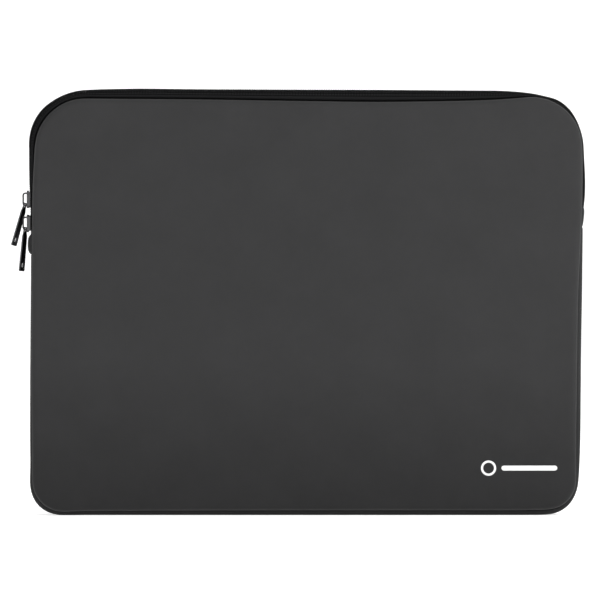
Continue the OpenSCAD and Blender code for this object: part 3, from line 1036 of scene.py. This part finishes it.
def metal_look(name, colour, low, high, edge=1.0):
    """Plated metal with fine scratches, a cast unevenness and duller worn patches."""
    look = Look(name, Metallic=1.0, Specular_Tint=(edge, edge, edge, 1.0))
    cast = look.noise(look.space(1.0), 0.35, 3.0, 0.5)
    fine = look.noise(look.space(1.0), 3.0, 4.0, 0.6)
    scratch = look.noise(look.mapped(look.space(1.0), (6.0, 6.0, 0.5), 0.3), 1.0, 3.0, 0.7)
    tone = look.math("ADD", look.ramp(fine, 0.3, 0.7, -0.12, 0.12), look.ramp(cast, 0.3, 0.7, -0.08, 0.08))
    look.paint(colour, tone)
    first = look.bump(scratch, 0.012, 0.5)
    look.bump(cast, 0.06, 0.4, first)
    look.rough(look.ramp(look.math("ADD", cast, look.math("MULTIPLY", scratch, 0.4)), 0.4, 1.0, low, high))
    return look.material


# ---------------------------------------------------------------- the pieces

FOLD = next(j for j in frame["joints"] if j["name"] == "front_fold")
FOLD_PLACE, FOLD_AXIS = Vector(FOLD["pos_m"]), Vector(FOLD["axis"]).normalized()
ACROSS_FOLD = Vector((0, 1, 0)).cross(FOLD_AXIS)
if ACROSS_FOLD.z < 0:
    ACROSS_FOLD = -ACROSS_FOLD


def wear(obj, material, slot_name, body, *nodes):
    """Gives a piece its material and attaches it to its body, or for the fold bakes its place into its mesh,
    and hides the CAD nodes it replaces. The slot name is not used.
    """
    obj.data.materials.clear()
    obj.data.materials.append(material)
    if body == "fold":
        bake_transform(obj)
    else:
        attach(obj, body)
    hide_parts(*nodes)


knit, lining, thread, ink = knit_look(), lining_look(), thread_look(), print_look()
tape_cloth = woven_look("zip_tape", (0.0115, 0.0115, 0.012), 0.9, 0.09, SEWING_WIDTH)
binding_cloth = woven_look("binding", (0.012, 0.012, 0.0125), 1.3, 0.1)
wire = coil_look()
slider_metal = metal_look("slider_metal", (0.1, 0.1, 0.103), 0.3, 0.45)
pull_metal = metal_look("pull_metal", (0.034, 0.034, 0.036), 0.24, 0.42, edge=0.45)

front_shell = panel("front_panel_shell", FRONT, 0.0, PAD)
back_shell = panel("back_panel_shell", BACK, 0.0, PAD)
wear(front_shell, knit, "knit", "fold", "front_outer_knit_lower", "front_outer_knit_flap",
     "front_foam_lower", "front_foam_flap")
wear(back_shell, knit, "knit", "sleeve", "back_outer_knit", "back_foam")
front_lining = panel("front_lining_cloth", FRONT, PAD + 0.05, PAD + LINING)
wear(front_lining, lining, "lining", "fold", "front_lining_lower", "front_lining_flap")
back_lining = panel("back_lining_cloth", BACK, PAD + 0.05, PAD + LINING)
wear(back_lining, lining, "lining", "sleeve", "back_lining")

wear(tape("zip_tape_front", FRONT), tape_cloth, "zip_tape", "fold", "zip_tape_front_ends",
     "zip_tape_front_flap")
wear(tape("zip_tape_rear", BACK), tape_cloth, "zip_tape", "sleeve", "zip_tape_back")
wear(tape_edge("zip_tape_edge_front", FRONT), tape_cloth, "zip_tape", "fold", "zip_tape_front_ends",
     "zip_tape_front_flap")
wear(tape_edge("zip_tape_edge_rear", BACK), tape_cloth, "zip_tape", "sleeve", "zip_tape_back")
wear(coil("zip_wire_front", FRONT, 0.0), wire, "zip_coil", "fold", "zip_coil_front_ends",
     "zip_coil_front_flap")
wear(coil("zip_wire_rear", BACK, 0.5), wire, "zip_coil", "sleeve", "zip_coil_back")
left_tab = end_tab("end_tab_left", ZIP_START - 0.6, crest=5.35, lean=0.1, fullness=2.6)
wear(left_tab, knit, "knit", "sleeve", "zip_end_tab_left")
right_tab = end_tab("end_tab_right", ZIP_END - 13.2, crest=4.15, lean=0.7, fullness=3.2)
wear(right_tab, knit, "knit", "sleeve", "zip_end_tab_right")

low, high = box_mm("zip_stop_left")
left_bar = end_stop("zip_bar_left", OUTLINE.left(low[2]), OUTLINE.left(high[2]))
wear(left_bar, slider_metal, "slider_metal", "sleeve", "zip_stop_left")
low, high = box_mm("zip_stop_right")
right_bar = end_stop("zip_bar_right", OUTLINE.right(high[2]), OUTLINE.right(low[2]))
wear(right_bar, slider_metal, "slider_metal", "sleeve", "zip_stop_right")

zip_run = path_runs(ZIP_START, ZIP_END)
seam_run = path_runs(ZIP_END, ZIP_START + OUTLINE.length)
wall = PAD + LINING
back_wall = wall - BACK_PROUD
front_strip = binding("zip_binding_front", FRONT, zip_run, -wall - 2.05, -wall - 0.05, 6.0, 7.95)
wear(front_strip, binding_cloth, "binding", "fold", "zip_binding_front_ends", "zip_binding_front_flap")
rear_strip = binding("zip_binding_rear", BACK, zip_run, -back_wall - 2.05, -back_wall - 0.05, 6.0, 7.95)
wear(rear_strip, binding_cloth, "binding", "sleeve", "zip_binding_back")
seam_strip = binding("seam_binding", FRONT, seam_run, -wall - 2.0, -back_wall - 0.1, 3.4, 5.9)
wear(seam_strip, binding_cloth, "binding", "sleeve", "seam_binding_lower")

STITCH_PITCH, STITCH_LENGTH, THREAD_R = 3.0, 2.3, 0.2
ZIP_STITCH_IN, ZIP_STITCH_H = 2.12, 7.2
SEAM_STITCH_IN, SEAM_STITCH_H = 2.05, 4.3
zip_holes = np.arange(ZIP_START + 3, ZIP_END - 2, STITCH_PITCH)
seam_holes = np.arange(ZIP_END + 3, ZIP_START + OUTLINE.length - 2, STITCH_PITCH)
u = edge_u(FRONT, zip_holes) - wall - ZIP_STITCH_IN
front_row = stitches("zip_stitches_front", FRONT, zip_holes, u, ZIP_STITCH_H)
wear(front_row, thread, "thread", "fold", "zip_stitching_front_ends", "zip_stitching_front_flap")
u = edge_u(BACK, zip_holes) - wall - ZIP_STITCH_IN
rear_row = stitches("zip_stitches_rear", BACK, zip_holes, u, ZIP_STITCH_H)
wear(rear_row, thread, "thread", "sleeve", "zip_stitching_back")
u = edge_u(FRONT, seam_holes) - wall - SEAM_STITCH_IN
seam_row = stitches("seam_stitches", FRONT, seam_holes, u, SEAM_STITCH_H)
wear(seam_row, thread, "thread", "sleeve", "seam_stitching_lower")

for patch in mark():
    wear(patch, ink, "print", "sleeve", "printed_mark")

# The metal pieces stay as the CAD made them, with their edges rounded: metal, rounding and nodes
METALS = [
    (slider_metal, 0.28, ("slider_upper_body", "slider_lower_body")),
    (pull_metal, 0.2, ("slider_upper_crown", "slider_lower_crown", "pull_upper", "pull_lower")),
]
SHARP_ANGLE = math.radians(35)
for metal, width, names in METALS:
    for name in names:
        node = frame["nodes"][name]
        node.data.materials.clear()
        node.data.materials.append(metal)
        bevel = node.modifiers.new("edges", "BEVEL")
        bevel.width = width * MM
        bevel.segments = 3
        bevel.limit_method = "ANGLE"
        bevel.angle_limit = SHARP_ANGLE
        bevel.harden_normals = False


# ---------------------------------------------------------------- floor, light and camera


GLOW = 0.6
FLOOR_R, CURVE_R, WALL_TOP = 3300, 500, 1200


def plain(name, colour, roughness, glow):
    """A pale, faintly grained surface that glows a little, so that it stays white in its shade."""
    look = Look(name, Roughness=roughness, Specular_IOR_Level=0.1)
    look.shader.inputs["Emission Color"].default_value = (1, 1, 1, 1)
    look.shader.inputs["Emission Strength"].default_value = glow
    grain = look.noise(look.space(0.01), 1.0, 2.0)
    look.paint((colour,) * 3, look.ramp(grain, 0.3, 0.7, -0.004, 0.004))
    return look.material


def backdrop():
    """A round floor that curves up into a low wall, well outside every view's camera."""
    line = [(0.05, 0), (700, 0), (1500, 0), (FLOOR_R, 0)]
    for a in np.linspace(0.1, math.pi / 2, 12):
        line.append((FLOOR_R + CURVE_R * math.sin(a), CURVE_R - CURVE_R * math.cos(a)))
    line.append((FLOOR_R + CURVE_R, WALL_TOP))
    turn = np.linspace(0, 2 * math.pi, 96, endpoint=False)
    points = [(r * math.cos(a), r * math.sin(a), z) for r, z in line for a in turn]
    n = len(turn)
    faces = [
        (k * n + c, (k + 1) * n + c, (k + 1) * n + (c + 1) % n, k * n + (c + 1) % n)
        for k in range(len(line) - 1)
        for c in range(n)
    ]
    faces.append(tuple(reversed(range(n))))
    obj = make_mesh("backdrop", points, faces)
    obj.data.materials.append(plain("backdrop", 0.86, 0.9, GLOW))


def softbox(name, place, target, size, power):
    """A rectangular light of a size in metres and a power in watts, turned to its target."""
    data = bpy.data.lights.new(name, "AREA")
    data.shape = "RECTANGLE"
    data.size, data.size_y = size
    data.energy = power
    lamp = bpy.data.objects.new(name, data)
    lamp.location = Vector(place)
    lamp.rotation_euler = (Vector(target) - Vector(place)).to_track_quat("-Z", "Y").to_euler()
    bpy.context.scene.collection.objects.link(lamp)


backdrop()
middle = Vector((0, 0, 0.15))
softbox("key", (-0.1, -0.85, 1.15), middle, (1.2, 0.4), 3)
softbox("left", (-1.3, -1.0, 0.8), middle, (0.6, 1.0), 8)
softbox("right", (0.95, -0.55, 0.8), middle, (0.5, 0.9), 12)
softbox("top", (0, 0.3, 2.6), middle, (3.0, 3.0), 14)
softbox("behind", (0.6, 2.4, 1.6), middle, (1.6, 1.2), 22)

world = bpy.data.worlds.new("studio")
world.use_nodes = True
world.node_tree.nodes["Background"].inputs[0].default_value = (1, 1, 1, 1)
world.node_tree.nodes["Background"].inputs[1].default_value = 0.12
scene = bpy.context.scene
scene.world = world
scene.view_settings.view_transform = "Standard"
scene.view_settings.look = "None"
scene.view_settings.exposure = 0.0

FRAME_WIDTH = 411.0
LENS = 180.0
AIM_X, AIM_Z = -4.6, 147.1
camera = bpy.data.cameras.new("camera")
camera.lens = LENS
camera.sensor_width = 36
away = FRAME_WIDTH * LENS / camera.sensor_width
camera.clip_start, camera.clip_end = 0.05, 20
eye = bpy.data.objects.new("camera", camera)
eye.location = Vector((AIM_X, -away, AIM_Z)) * MM
eye.rotation_euler = (math.pi / 2, 0, 0)
scene.collection.objects.link(eye)
scene.camera = eye

bpy.context.view_layer.update()
